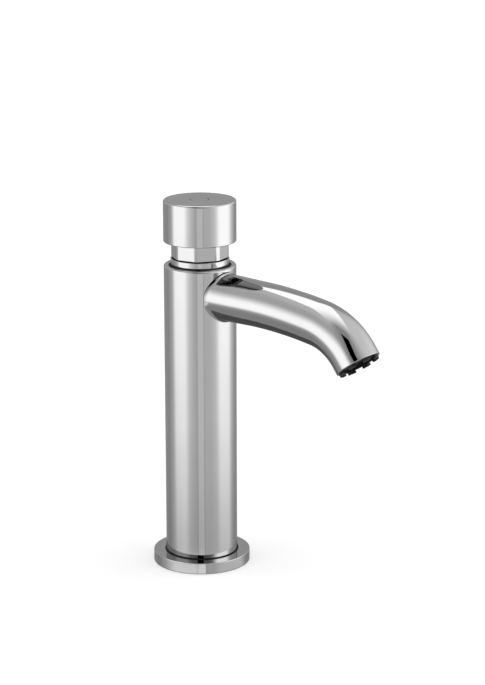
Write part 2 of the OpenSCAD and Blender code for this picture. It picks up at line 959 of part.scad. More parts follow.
module valve_cup() {
    color(brass)
        turned(
            [[cup_r, cup_z, cup_z + cup_t + cup_rim]],
            [
                [rod_r + fit_clear, cup_z, cup_z + cup_t],
                [washer_r + fit_clear, cup_z + cup_t, cup_z + cup_t + cup_rim]
            ]
        );
}

module rod_nut() {
    color(steel)
        translate([0, 0, rod_nut_z])
            difference() {
                cylinder(r = rod_nut_r, h = rod_nut_h, $fn = 6);
                translate([0, 0, -over])
                    cylinder(r = rod_r + fit_clear, h = rod_nut_h + 2 * over);
            }
}

base_flange();
deck_gasket();
base_seal();
body();
inlet_shank();
inlet_strainer();
fixing_gasket();
fixing_washer();
backnut();
spout();
spigot_ring();
aerator_housing();
aerator_insert();
aerator_screen();
aerator_gasket();
cartridge_head();
head_seal();
stem_ring();
stem_guide();
cartridge_barrel();
rod_ring();
timing_pin();
valve_cage();
cage_ring();
return_spring();
push_button();
button_plug();
button_screw();
stem();
piston();
lip_seal();
piston_clip();
valve_washer();
valve_cup();
rod_nut();
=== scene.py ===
# Looks of a chromed push-button timed tap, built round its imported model.
# Sizes are in millimetres until a mesh is made.
import json
import math

import bpy
from mathutils import Matrix, Vector


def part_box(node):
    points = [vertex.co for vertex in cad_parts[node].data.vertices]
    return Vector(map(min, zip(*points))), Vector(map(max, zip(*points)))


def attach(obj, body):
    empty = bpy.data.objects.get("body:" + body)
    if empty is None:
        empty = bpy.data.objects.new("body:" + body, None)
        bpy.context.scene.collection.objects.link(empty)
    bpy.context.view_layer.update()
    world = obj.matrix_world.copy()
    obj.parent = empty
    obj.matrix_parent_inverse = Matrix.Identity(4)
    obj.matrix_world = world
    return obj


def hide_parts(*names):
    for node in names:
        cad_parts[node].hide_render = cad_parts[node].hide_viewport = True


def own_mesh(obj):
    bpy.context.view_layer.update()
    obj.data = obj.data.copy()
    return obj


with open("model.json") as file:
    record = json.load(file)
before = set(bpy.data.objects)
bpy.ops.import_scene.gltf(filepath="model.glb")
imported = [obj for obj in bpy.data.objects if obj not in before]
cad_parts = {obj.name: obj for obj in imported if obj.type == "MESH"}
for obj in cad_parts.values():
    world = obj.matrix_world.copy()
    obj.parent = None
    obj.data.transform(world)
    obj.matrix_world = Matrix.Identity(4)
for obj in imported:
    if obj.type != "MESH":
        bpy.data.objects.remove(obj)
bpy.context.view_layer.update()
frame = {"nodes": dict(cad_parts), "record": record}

MM = 0.001


# Sizes read from the frame
def top_of(node):
    """Height of a node's top."""
    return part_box(node)[1].z / MM


def bottom_of(node):
    """Height of a node's underside."""
    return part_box(node)[0].z / MM


def radius_of(node):
    """Radius of a node that is round about the body's axis."""
    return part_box(node)[1].x / MM


FLANGE_R = radius_of("base_flange")
FLANGE_T = top_of("base_flange")
BODY_R = radius_of("body")
BODY_Z = top_of("base_seal")
BODY_TOP = top_of("body")
FOOT_Z = bottom_of("body")
SEAL_R = radius_of("head_seal")
SEAL_Z = bottom_of("head_seal")
COLLAR_Z = top_of("head_seal")
SKIRT_Z = bottom_of("cartridge_head")
HEAD_TOP = top_of("cartridge_head")
BARREL_R = radius_of("cartridge_barrel")
BARREL_TOP = top_of("cartridge_barrel")
GUIDE_TOP = top_of("stem_guide")
CAGE_Z = bottom_of("valve_cage")
LAND_R = radius_of("valve_cage")
BUTTON_R = radius_of("push_button")
BUTTON_Z = bottom_of("push_button")
BUTTON_TOP = top_of("push_button")
PLUG_R = radius_of("button_plug")
PLUG_Z = bottom_of("button_plug")
STEM_TOP = top_of("stem")
SPRING_Z = bottom_of("return_spring")
SPRING_TOP = top_of("return_spring")
SHANK_R = radius_of("inlet_shank")
SHANK_Z = bottom_of("inlet_shank")
SHANK_TOP = top_of("inlet_shank")
GASKET_R = radius_of("deck_gasket")
GASKET_T = top_of("deck_gasket")
BASE_RING_R = radius_of("base_seal")
RUBBER_WASHER_R = radius_of("fixing_gasket")
RUBBER_WASHER_Z = bottom_of("fixing_gasket")
RUBBER_WASHER_TOP = top_of("fixing_gasket")
STEEL_WASHER_R = radius_of("fixing_washer")
STEEL_WASHER_Z = bottom_of("fixing_washer")
NUT_CORNER_R = radius_of("backnut")
NUT_Z = bottom_of("backnut")

# Sizes that the frame's boxes don't give
FIT = 0.1
SEAL_ROOM = 0.3
FOOT_R = 13.38
SHANK_BORE_R = 7
FLOOR_T = 3
CAVITY_R = 15
MOUTH_R = SEAL_R + SEAL_ROOM
MOUTH_THREAD_R = 13.1
MOUTH_THREAD_L = 5.4
SHELF_T = 2.5
SHELF_BORE_R = 9.1
LAND_H = 10.5
GASKET_IN_R = 16.49
COLLAR_R = 15.4
COLLAR_H = 3.2
NECK_R = 13.55
NECK_H = 0.5
OCTAGON_SIDES = 8
OCTAGON_PITCH = 2 * math.pi / OCTAGON_SIDES
OCTAGON_FLAT_R = 14.25
OCTAGON_LAND_R = 15
OCTAGON_TURN = math.radians(-9)
STEM_R = 4
STEM_CLEAR = 0.08
GUIDE_R = 6.08
HEAD_THREAD_R = 13
STEM_RING_R = 6.1
STEM_RING_H = 2.4
BUTTON_BORE_R = 16.6
BUTTON_BOSS_R = 7
BUTTON_ROOF = 3.6
PLUG_GAP = 0.3
BOSS_Z = 186.1
SCREW_SEAT_Z = 192.5
SCREW_R = 2.6
SPRING_R = 8.1
SPRING_WIRE = 1.4
SPRING_TURNS = 7
WASHER_CLEAR = 0.25
THREAD_PITCH = 1.814
THREAD_DEPTH = 1.16
RELIEF_Z = -30
RELIEF_TOP = -28
RELIEF_DEPTH = 0.9
STRAINER_R = 8.2
STRAINER_T = 1.8
NUT_SIDES = 6

# Rounding of edges that the light picks out
FLANGE_EDGE = 0.3
RIM_EDGE = 1.2
BODY_LOW_EDGE = 0.2
MOUTH_EDGE = 1.2
COLLAR_EDGE = 0.25
OCTAGON_EDGE = 0.2
BUTTON_EDGE = 1
BUTTON_RIM_EDGE = 0.4
BUTTON_INNER_EDGE = 0.3
PLUG_EDGE = 0.06
SEAL_EDGE = 0.2
BASE_RING_EDGE = 0.1
WASHER_EDGE = 0.3
NUT_EDGE = 0.8
NUT_FACE_INSET = 0.3

# Fineness of the meshes
SEGMENTS = 160
ARC_STEPS = 8
SUPPORT = 0.06
OCTAGON_LAND_STEPS = 4
OCTAGON_FLAT_STEPS = 16
HOLE_MARGIN = 2
OVERCUT = 1
TINY = 1e-6
SHARP_ANGLE = math.radians(24)
COIL_SHARP_ANGLE = math.radians(50)

# Spout, along its axis from the body's axis
SPOUT_Z = 147.8
SPOUT_ROOT_R = 12.7
SPOUT_TIP_R = 11.95
SPOUT_BORE_R = 8.55
SPOUT_RUN = 40
GENTLE_R = 265
GENTLE_ANGLE = math.radians(9)
TIGHT_R = 36
TIGHT_ANGLE = math.radians(44)
SPOUT_TIP_L = 3.8
SPOUT_BORE_X = 26
SPIGOT_R = 6.58
SPIGOT_BORE_R = 4.08
SPIGOT_GROOVE_R = 5.18
SPIGOT_GROOVE_X = 17
SPIGOT_GROOVE_W = 1.8
JOINT_GAP = 0.5
ROOT_EDGE = 0.25
ROOT_FLARE = 0.8
ROOT_FLARE_L = 1.8
SKIN_OFFSET = 1
LIP_EDGE = 0.4
RECESS_R = 11
RECESS_DEPTH = 8.5

# Aerator's ring, along the outlet's axis from its lip
AERATOR_R = 10.9
AERATOR_DEPTH = 7
AERATOR_STAND = 1.5
AERATOR_EDGE = 0.2
INSERT_R = 9.5
INSERT_INSET = 1.2
LEDGE_R = 8.7
NOTCHES = 8
NOTCH_W = 3.8
NOTCH_DEPTH = 1.3


# Outlines and meshes
def arc(corner, before, after, rounding):
    """Points of an outline's rounded corner, with a short straight stretch on both sides."""
    to_before = (before - corner).normalized()
    to_after = (after - corner).normalized()
    half = to_before.angle(to_after) / 2
    reach = rounding / math.tan(half)
    centre = corner + (to_before + to_after).normalized() * rounding / math.sin(half)
    first = corner + to_before * reach - centre
    turn = math.pi - 2 * half
    if first.x * to_before.y - first.y * to_before.x > 0:
        turn = -turn
    points = [corner + to_before * (reach + SUPPORT)]
    for i in range(ARC_STEPS + 1):
        spoke = first.copy()
        spoke.rotate(Matrix.Rotation(turn * i / ARC_STEPS, 2))
        points.append(centre + spoke)
    points.append(corner + to_after * (reach + SUPPORT))
    return points


def outline(corners):
    """Closed outline through corners (r, z, rounding, octagon): a list of (point, octagon)."""
    rows = [(*corner, *(0, False)[len(corner) - 2:]) for corner in corners]
    places = [Vector(row[:2]) for row in rows]
    found = []
    for i, row in enumerate(rows):
        before, after = places[i - 1], places[(i + 1) % len(rows)]
        points = arc(places[i], before, after, row[2]) if row[2] else [places[i]]
        found += [(point, row[3]) for point in points]
    return found


def octagon_angles():
    """Angles round the body's axis, with the octagon's lands and flats each divided evenly."""
    land = OCTAGON_PITCH / 2 - math.acos(OCTAGON_FLAT_R / OCTAGON_LAND_R)
    flat = OCTAGON_PITCH - 2 * land
    angles = []
    for corner in range(OCTAGON_SIDES):
        start = OCTAGON_TURN + corner * OCTAGON_PITCH
        angles += [start + land * (2 * i / OCTAGON_LAND_STEPS - 1) for i in range(OCTAGON_LAND_STEPS)]
        angles += [start + land + flat * i / OCTAGON_FLAT_STEPS for i in range(OCTAGON_FLAT_STEPS)]
    return angles


def octagon_share(angle):
    """Radius of the octagon at an angle, as a share of the radius over its lands."""
    off = (angle - OCTAGON_TURN) % OCTAGON_PITCH - OCTAGON_PITCH / 2
    return min(1, OCTAGON_FLAT_R / math.cos(off) / OCTAGON_LAND_R)


def join_rings(rings, closed):
    """Faces between rings of vertices, where a ring may be a single vertex."""
    faces = []
    pairs = list(zip(rings, rings[1:] + rings[:1])) if closed else list(zip(rings, rings[1:]))
    for low, high in pairs:
        count = max(len(low), len(high))
        for j in range(count):
            k = (j + 1) % count
            face = [low[j % len(low)], low[k % len(low)], high[k % len(high)], high[j % len(high)]]
            face = [v for i, v in enumerate(face) if v not in face[:i]]
            if len(face) > 2:
                faces.append(face)
    return faces


def new_mesh(name, points, faces, sharp=SHARP_ANGLE):
    """Mesh object in metres, smooth apart from its sharp edges."""
    mesh = bpy.data.meshes.new(name)
    mesh.from_pydata([Vector(p) * MM for p in points], [], faces)
    mesh.validate()
    mesh.shade_smooth()
    mesh.set_sharp_from_angle(angle=sharp)
    piece = bpy.data.objects.new(name, mesh)
    bpy.context.scene.collection.objects.link(piece)
    return piece


def turned(name, corners, angles=None):
    """Piece turned about the body's axis from an outline, listed from the bottom outwards and up."""
    angles = angles or [2 * math.pi * j / SEGMENTS for j in range(SEGMENTS)]
    points, rings = [], []
    for (r, z), octagon in outline(corners):
        start = len(points)
        if r < TINY:
            points.append((0, 0, z))
        else:
            shares = [octagon_share(a) if octagon else 1 for a in angles]
            points += [(r * s * math.cos(a), r * s * math.sin(a), z) for a, s in zip(angles, shares)]
        rings.append(list(range(start, len(points))))
    return new_mesh(name, points, join_rings(rings, True))


def cut(piece, tool, operation="DIFFERENCE"):
    """Cuts a tool's shape out of a piece, or keeps only what the two share, and deletes the tool."""
    boolean = piece.modifiers.new("cut", "BOOLEAN")
    boolean.operation = operation
    boolean.object = tool
    boolean.solver = "EXACT"
    bpy.context.view_layer.update()
    result = bpy.data.meshes.new_from_object(piece.evaluated_get(bpy.context.evaluated_depsgraph_get()))
    piece.modifiers.clear()
    piece.data = result
    result.name = piece.name
    result.shade_smooth()
    result.set_sharp_from_angle(angle=SHARP_ANGLE)
    bpy.data.objects.remove(tool)
    return piece


def finish_piece(piece, body, slot, *nodes):
    """Gives a piece its body, slot and material, and hides the nodes that it stands for."""
    piece.data.materials.clear()
    piece.data.materials.append(MATERIALS[slot])
    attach(piece, body)
    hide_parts(*nodes)
    return piece


# Materials
SLOT_COLOUR = {row["slot"]: row["base_color"] for row in frame["record"]["materials"]}
WHITE = (1, 1, 1, 1)
# Values that nearly all of the noise lies between
NOISE_SPAN = (0.35, 0.65)
MATT_SPECULAR = 0.3
# A ray that has met more mirrors than this is deep
FIRST_MIRROR = 1.5


class Tree:
    """Short hand for building a node tree."""

    def __init__(self, owner):
        owner.use_nodes = True
        self.tree = owner.node_tree

    def add(self, kind, *values, **settings):
        """New shader node with its settings and its inputs in order, each a socket or a value."""
        node = self.tree.nodes.new("ShaderNode" + kind)
        for name, value in settings.items():
            setattr(node, name, value)
        for socket, value in zip(node.inputs, values):
            self.feed(socket, value)
        return node

    def feed(self, socket, value):
        """Links a socket to another, or sets its value."""
        if isinstance(value, bpy.types.NodeSocket):
            self.tree.links.new(value, socket)
        else:
            socket.default_value = value

    def show(self, shader):
        """Makes a shader node the surface."""
        self.feed(self.tree.nodes["Material Output"].inputs["Surface"], shader.outputs[0])

    def place(self):
        """Place on the object, in metres."""
        return self.add("TexCoord").outputs["Object"]

    def deep(self):
        """1 for a ray from a reflection of a reflection, and 0 for others."""
        depth = self.add("LightPath").outputs["Glossy Depth"]
        return self.math("GREATER_THAN", depth, FIRST_MIRROR)

    def math(self, operation, *values):
        """Result of an operation on sockets or values."""
        return self.add("Math", *values, operation=operation).outputs[0]

    def rise(self, value, start, end):
        """Smooth rise from 0 at the start to 1 at the end."""
        return self.add("MapRange", value, start, end, interpolation_type="SMOOTHSTEP").outputs[0]

    def blend(self, share, low, high):
        """Value between two others."""
        node = self.add("Mix", share)
        self.feed(node.inputs[2], low)
        self.feed(node.inputs[3], high)
        return node.outputs[0]


class Surface(Tree):
    """Material of one of the record's slots, whose colour, roughness and bump follow noise."""

    def __init__(self, slot, metallic):
        self.material = bpy.data.materials.new(slot)
        super().__init__(self.material)
        self.colour = SLOT_COLOUR[slot]
        self.shader = self.tree.nodes["Principled BSDF"]
        self.shader.inputs["Metallic"].default_value = metallic

    def noise(self, scale, detail, stretch=(1, 1, 1)):
        """Noise of so many features per metre, stretched along the axes."""
        mapping = self.add("Mapping", self.place())
        mapping.inputs["Scale"].default_value = stretch
        noise = self.add("TexNoise", mapping.outputs["Vector"])
        noise.inputs["Scale"].default_value = scale
        noise.inputs["Detail"].default_value = detail
        return noise.outputs["Fac"]

    def ramp(self, noise, low, high):
        """Colour between two others."""
        ramp = self.add("ValToRGB", noise)
        for element, place, colour in zip(ramp.color_ramp.elements, NOISE_SPAN, (low, high)):
            element.position = place
            element.color = (*colour, 1)
        return ramp.outputs["Color"]

    def tint(self, noise, low, high):
        """Lets the slot's colour vary between two shares of itself."""
        ends = ([share * part for part in self.colour] for share in (low, high))
        self.feed(self.shader.inputs["Base Color"], self.ramp(noise, *ends))

    def rough(self, noise, low, high):
        """Lets the roughness vary."""
        self.feed(self.shader.inputs["Roughness"], self.ramp(noise, [low] * 3, [high] * 3))

    def paint_crevice_shade(self, reach, low, high):
        """Darkens the colour in crevices with painted shade, by how much of the space within a reach is
        open.
        """
        colour = self.shader.inputs["Base Color"]
        unshaded = colour.links[0].from_socket
        # Painted shade: ambient occlusion darkens the base colour where shade falls in crevices
        space = self.add("AmbientOcclusion")
        space.inputs["Distance"].default_value = reach
        share = self.rise(space.outputs["AO"], low, high)
        self.feed(colour, self.add("VectorMath", unshaded, share, operation="MULTIPLY").outputs[0])

    def dull(self):
        """Lowers the gloss."""
        self.shader.inputs["Specular IOR Level"].default_value = MATT_SPECULAR

    def bump(self, noise, height):
        """Bumps the surface by a height in metres."""
        bump = self.add("Bump")
        bump.inputs["Distance"].default_value = height
        self.feed(bump.inputs["Height"], noise)
        self.feed(self.shader.inputs["Normal"], bump.outputs["Normal"])


def make_chrome():
    """Polished chrome plate: a faint haze from wiping, a hint of waviness and painted shade in its
    crevices.
    """
    surface = Surface("chrome", metallic=1)
    surface.tint(surface.noise(scale=40, detail=3), low=0.985, high=1.015)
    # Painted shade: the chrome's colour darkens in crevices, where shade falls
    surface.paint_crevice_shade(reach=1.2e-3, low=0.2, high=0.85)
    surface.rough(surface.noise(scale=90, detail=6), low=0.02, high=0.045)
    surface.bump(surface.noise(scale=160, detail=2), height=4e-6)
    return surface.material


def make_rubber():
    """Matt black rubber, with a fine moulded grain."""
    surface = Surface("black_rubber", metallic=0)
    surface.tint(surface.noise(scale=300, detail=4), low=0.6, high=1.2)
    surface.rough(surface.noise(scale=700, detail=4), low=0.5, high=0.68)
    surface.bump(surface.noise(scale=4000, detail=3), height=2e-5)
    surface.dull()
    return surface.material


def make_plastic():
    """Satin black plastic, with faint sparked grain."""
    surface = Surface("black_plastic", metallic=0)
    surface.tint(surface.noise(scale=250, detail=4), low=0.6, high=1.1)
    surface.rough(surface.noise(scale=900, detail=3), low=0.28, high=0.42)
    surface.bump(surface.noise(scale=5000, detail=2), height=1e-5)
    surface.dull()
    return surface.material


def make_acetal():
    """Natural acetal: milky, with faint flow marks."""
    surface = Surface("white_plastic", metallic=0)
    surface.tint(surface.noise(scale=120, detail=5, stretch=(1, 1, 0.3)), low=0.93, high=1)
    surface.rough(surface.noise(scale=600, detail=3), low=0.35, high=0.5)
    surface.bump(surface.noise(scale=3000, detail=2), height=1e-5)
    return surface.material


def make_brass():
    """Machined brass: fine turning marks and light tarnish."""
    surface = Surface("brass", metallic=1)
    surface.tint(surface.noise(scale=90, detail=6), low=0.8, high=1.08)
    surface.rough(surface.noise(scale=500, detail=5, stretch=(1, 1, 12)), low=0.18, high=0.36)
    surface.bump(surface.noise(scale=900, detail=3, stretch=(0.1, 0.1, 8)), height=8e-6)
    return surface.material


def make_steel():
    """Stainless steel, finely brushed."""
    surface = Surface("steel", metallic=1)
    surface.tint(surface.noise(scale=150, detail=4), low=0.9, high=1.08)
    surface.rough(surface.noise(scale=800, detail=5, stretch=(1, 8, 1)), low=0.22, high=0.38)
    surface.bump(surface.noise(scale=2500, detail=3, stretch=(0.2, 6, 1)), height=4e-6)
    return surface.material


MATERIALS = {
    "chrome": make_chrome(),
    "black_rubber": make_rubber(),
    "black_plastic": make_plastic(),
    "white_plastic": make_acetal(),
    "brass": make_brass(),
    "steel": make_steel(),
}
for row in frame["record"]["subparts"]:
    node_mesh = frame["nodes"][row["node"]].data
    node_mesh.materials.clear()
    node_mesh.materials.append(MATERIALS[row["material_slot"]])


# Camera, in degrees, metres and the photograph's pixels; its sensor is in millimetres
CAMERA_AZIMUTH = -47
CAMERA_DISTANCE = 1.1699
CAMERA_HEIGHT = 0.43229
CAMERA_PITCH = 14.945
CAMERA_YAW = 1.0814
CAMERA_ROLL = -0.1116
FOCAL_PIXELS = 2300.4
IMAGE_HEIGHT = 685
SENSOR = 36


def make_camera():
    """Camera at the photograph's viewing angle."""
    data = bpy.data.cameras.new("camera")
    data.sensor_width = SENSOR
    data.lens = FOCAL_PIXELS * SENSOR / IMAGE_HEIGHT
    camera = bpy.data.objects.new("camera", data)
    azimuth = math.radians(CAMERA_AZIMUTH)
    turn = Matrix.Rotation(azimuth - math.radians(CAMERA_YAW), 4, "Z")
    tilt = Matrix.Rotation(math.radians(90 - CAMERA_PITCH), 4, "X")
    roll = Matrix.Rotation(math.radians(CAMERA_ROLL), 4, "Z")
    place = (math.sin(azimuth) * CAMERA_DISTANCE, -math.cos(azimuth) * CAMERA_DISTANCE, CAMERA_HEIGHT)
    camera.matrix_world = Matrix.Translation(place) @ turn @ tilt @ roll
    bpy.context.scene.collection.objects.link(camera)
    bpy.context.scene.camera = camera


make_camera()


# Light: cards round the tap, which only its reflections show, with lamps and a white world.
# Each card, in degrees: azimuth from the camera, half width and its fade, low edge and its fade,
# high edge and its fade; and then its radiance. A later card covers an earlier one.
CARDS = {
    "left ceiling": (-95, 45, 15, 50, 8, 95, 3, 0.73),
    "right wall": (95, 60, 30, 8, 12, 95, 3, 0.86),
    "back wall": (180, 28, 8, -5, 5, 44, 3, 0.4),
    "back floor": (180, 68, 14, -70, 10, 0, 5, 0.37),
    "front wall": (-15, 26, 16, 0, 4, 68, 6, 0.36),
    "front dusk": (5, 25, 15, 0, 4, 30, 8, 0.28),
    "front right": (30, 22, 10, -70, 10, 0, 4, 0.66),
    "left glow": (-55, 25, 20, -17, 9, 6, 14, 1.17),
    "left softbox": (-69, 24, 10, -17.5, 8, 18.5, 17, 1.6),
    "right glow": (85, 38, 22, -17, 9, 34, 18, 1.17),
    "right softbox": (82, 24, 12, -17.5, 8, 20, 14, 1.68),
    "front floor": (0, 11.5, 1, -70, 10, 0, 4, 0.55),
    "base left": (-42, 34, 10, -28, 4, -20.3, 0.25, 1.27),
    "base right": (80, 40, 12, -28, 4, -20.3, 0.25, 0.88),
    "front strip": (0, 9, 1, -70, 10, 0, 4, 0.76),
    "base strip": (0, 9, 1, -28, 4, -20.3, 0.25, 1.27),
    "near floor": (-95, 60, 20, -95, 2, -28, 7, 0.42),
    "right floor": (52, 93, 28, -57, 5, -36, 4, 0.38),
    "back shade": (-165, 20, 8, -52, 5, -29, 4, 0.12),
    "base lamp": (70, 25, 12, 15, 4, 26, 4, 3.6),
    "dark door": (-16.3, 10.8, 1, 23.5, 1, 53, 1, 0.0),
    "dark sill": (-2, 9, 1, -8, 1, -3, 1, 0.0),
}
# Cards that show only in a reflection of a reflection, and the share of all light that it shows
DEEP_CARDS = ("right floor", "base lamp")
DEEP_SHARE = 0.52
# Elevations between which the cards' light falls off towards the floor, and the share that is left
DUSK = (-16.5, -21)
DUSK_SHARE = 0.8
# Dome that carries the cards: its radiance between them, its radius in metres and its divisions
TENT_LEVEL = 0.58
TENT_R = 40
TENT_ROWS = 32
TENT_COLUMNS = 64
# White card overhead: where it begins, and its edges and their fades as shares of its height
SKY_HORIZON = (0.0, 0.1)
SKY_LEFT = (-0.48, 0.02)
SKY_RIGHT = (0.26, 0.02)
SKY_BACK = (-0.9, 0.03)
SKY_FRONT = (0.06, 0.38)
SKY_RADIANCE = 1.68
# Black flag before the camera, for deep rays: its distance, sides, bottom and top, in metres
FLAG_DISTANCE = 0.44
FLAG_SIDES = (-0.11, 0.045)
FLAG_HEIGHTS = (0.13, 0.66)
# Light on matt surfaces, and the floor
WORLD_LEVEL = 0.6
LAMP_LEVEL = 0.25
LAMP_SPREAD = 70
LAMP_AZIMUTHS = (-80, 85)
LAMP_ELEVATION = 50
FLOOR_SIZE = 60
FLOOR_COLOUR = 0.8
FLOOR_GLOW = 0.3


def towards(azimuth, elevation):
    """Direction at an azimuth from the camera and an elevation, in degrees."""
    turn = math.radians(azimuth + CAMERA_AZIMUTH)
    rise = math.radians(elevation)
    return Vector((math.sin(turn) * math.cos(rise), -math.cos(turn) * math.cos(rise), math.sin(rise)))


def only_mirrored(card, material):
    """Gives a card its material, for reflections alone."""
    card.data.materials.append(material)
    card.visible_camera = False
    card.visible_diffuse = False
    card.visible_shadow = False


def make_tent():
    """Dome whose glow is set by the cards."""
    points, rings = [], []
    for i in range(TENT_ROWS + 1):
        start = len(points)
        rise = -90 + 180 * i / TENT_ROWS
        steps = 1 if i in (0, TENT_ROWS) else TENT_COLUMNS
        points += [towards(360 * j / steps, rise) * TENT_R / MM for j in range(steps)]
        rings.append(list(range(start, len(points))))
    tent = new_mesh("tent", points, join_rings(rings, False))
    material = bpy.data.materials.new("tent")
    tree = Tree(material)
    aim = tree.add("VectorMath", tree.place(), operation="NORMALIZE").outputs[0]
    x, y, z = tree.add("SeparateXYZ", aim).outputs
    azimuth = tree.math("DEGREES", tree.math("ARCTAN2", x, tree.math("MULTIPLY", y, -1)))
    elevation = tree.math("DEGREES", tree.math("ARCSINE", z))
    deep = tree.deep()
    level = TENT_LEVEL
    for name, (centre, half, side, low, low_fade, high, high_fade, radiance) in CARDS.items():
        off = tree.math("SUBTRACT", azimuth, centre + CAMERA_AZIMUTH)
        off = tree.math("ABSOLUTE", tree.math("WRAP", off, 180, -180))
        share = tree.rise(off, half + side, half - side)
        share = tree.math("MULTIPLY", share, tree.rise(elevation, low - low_fade, low + low_fade))
        share = tree.math("MULTIPLY", share, tree.rise(elevation, high + high_fade, high - high_fade))
        if name in DEEP_CARDS:
            share = tree.math("MULTIPLY", share, deep)
        level = tree.blend(share, level, radiance)
    sky = tree.rise(z, *SKY_HORIZON)
    for side, edges in ((90, (SKY_LEFT, SKY_RIGHT)), (0, (SKY_BACK, SKY_FRONT))):
        reach = tree.add("VectorMath", aim, towards(side, 0), operation="DOT_PRODUCT").outputs["Value"]
        reach = tree.math("DIVIDE", reach, z)
        for (edge, fade), sign in zip(edges, (1, -1)):
            sky = tree.math("MULTIPLY", sky, tree.rise(reach, edge - sign * fade, edge + sign * fade))
    share = tree.blend(deep, 1.0, DEEP_SHARE)
    share = tree.math("MULTIPLY", share, tree.blend(tree.rise(elevation, *DUSK), 1.0, DUSK_SHARE))
    radiance = tree.math("MULTIPLY", share, tree.blend(sky, level, SKY_RADIANCE))
    tree.show(tree.add("Emission", WHITE, radiance))
    only_mirrored(tent, material)


def make_flag():
    """Flag between the camera and the tap: black for deep rays, and clear for others."""
    ahead = towards(0, 0) * FLAG_DISTANCE
    aside = towards(90, 0)
    left, right = (ahead + aside * side for side in FLAG_SIDES)
    bottom, top = (Vector((0, 0, height)) for height in FLAG_HEIGHTS)
    corners = [left + bottom, right + bottom, right + top, left + top]
    flag = new_mesh("flag", [corner / MM for corner in corners], [(0, 1, 2, 3)])
    material = bpy.data.materials.new("flag")
    tree = Tree(material)
    tree.show(tree.add("BsdfTransparent", tree.math("SUBTRACT", 1.0, tree.deep())))
    only_mirrored(flag, material)


def make_world():
    """White world, which lights the tap at a plain level."""
    world = bpy.data.worlds.new("world")
    tree = Tree(world)
    path = tree.add("LightPath").outputs
    seen = tree.math("MAXIMUM", path["Is Camera Ray"], path["Is Glossy Ray"])
    seen = tree.math("MAXIMUM", seen, path["Is Transmission Ray"])
    background = tree.tree.nodes["Background"]
    background.inputs["Color"].default_value = WHITE
    tree.feed(background.inputs["Strength"], tree.blend(seen, WORLD_LEVEL, 1.0))
    bpy.context.scene.world = world


def make_lamps():
    """Soft lamps on both sides."""
    for azimuth in LAMP_AZIMUTHS:
        data = bpy.data.lights.new("lamp", "SUN")
        data.angle = math.radians(LAMP_SPREAD)
        data.energy = LAMP_LEVEL * math.pi
        lamp = bpy.data.objects.new("lamp", data)
        lamp.rotation_euler = towards(azimuth, LAMP_ELEVATION).to_track_quat("Z", "Y").to_euler()
        lamp.visible_camera = False
        lamp.visible_glossy = False
        bpy.context.scene.collection.objects.link(lamp)


def make_floor():
    """White deck that the flange stands on. From below it can be seen through."""
    half = FLOOR_SIZE / 2 / MM
    corners = [(-half, -half, 0), (half, -half, 0), (half, half, 0), (-half, half, 0)]
    floor = new_mesh("floor", corners, [(0, 1, 2, 3)])
    material = bpy.data.materials.new("floor")
    tree = Tree(material)
    seen = tree.add("LightPath").outputs["Is Camera Ray"]
    shade = tree.add("BsdfDiffuse", (FLOOR_COLOUR, FLOOR_COLOUR, FLOOR_COLOUR, 1)).outputs[0]
    glow = tree.add("Emission", WHITE, tree.math("MULTIPLY", seen, FLOOR_GLOW)).outputs[0]
    top = tree.add("AddShader", shade, glow).outputs[0]
    below = tree.add("BsdfTransparent").outputs[0]
    side = tree.add("NewGeometry").outputs["Backfacing"]
    tree.show(tree.add("MixShader", side, top, below))
    floor.data.materials.append(material)
    floor.visible_glossy = False


make_tent()
make_flag()
make_world()
make_lamps()
make_floor()


# Base and body
def make_flange():
    """Round base flange, with the gasket's groove in its underside."""
    return turned("flange", [
        (FOOT_R + FIT, 0),
        (GASKET_IN_R - SEAL_ROOM, 0),
        (GASKET_IN_R - SEAL_ROOM, GASKET_T),
        (GASKET_R + SEAL_ROOM, GASKET_T),
        (GASKET_R + SEAL_ROOM, 0),
        (FLANGE_R, 0, FLANGE_EDGE),
        (FLANGE_R, FLANGE_T, FLANGE_EDGE),
        (FOOT_R + FIT, FLANGE_T),
    ])


def make_pillar():
    """Hollow body, with the mouth for the cartridge and the spout's hole in its side."""
    floor_top = SHANK_TOP + FLOOR_T
    mouth_thread_z = SEAL_Z - MOUTH_THREAD_L
    pillar = turned("pillar", [
        (SHANK_R + FIT, FOOT_Z),
        (FOOT_R, FOOT_Z),
        (FOOT_R, BODY_Z),
        (BODY_R, BODY_Z, BODY_LOW_EDGE),
        (BODY_R, SPOUT_Z - SPIGOT_R - HOLE_MARGIN),
        (BODY_R, BODY_TOP, RIM_EDGE),
        (MOUTH_R, BODY_TOP, MOUTH_EDGE),
        (MOUTH_R, SEAL_Z),
        (MOUTH_THREAD_R, SEAL_Z),
        (MOUTH_THREAD_R, mouth_thread_z),
        (CAVITY_R, mouth_thread_z),
        (CAVITY_R, CAGE_Z + LAND_H),
        (LAND_R + FIT, CAGE_Z + LAND_H),
        (LAND_R + FIT, CAGE_Z),
        (SHELF_BORE_R, CAGE_Z),
        (SHELF_BORE_R, CAGE_Z - SHELF_T),
        (CAVITY_R, CAGE_Z - SHELF_T),
        (CAVITY_R, floor_top),
        (SHANK_BORE_R, floor_top),
        (SHANK_BORE_R, SHANK_TOP),
        (SHANK_R + FIT, SHANK_TOP),
    ])
    hole_r = SPIGOT_R + FIT
    hole = turned("hole", [(0, 0), (hole_r, 0), (hole_r, 2 * BODY_R), (0, 2 * BODY_R)])
    hole.matrix_world = Matrix.Translation((0, 0, SPOUT_Z * MM)) @ Matrix.Rotation(math.pi / 2, 4, "X")
    return cut(pillar, hole)


def make_base_ring():
    """Black ring between the flange and the body."""
    inner = FOOT_R + SEAL_ROOM
    return turned("base_ring", [
        (inner, FLANGE_T),
        (BASE_RING_R, FLANGE_T, BASE_RING_EDGE),
        (BASE_RING_R, BODY_Z, BASE_RING_EDGE),
        (inner, BODY_Z),
    ])


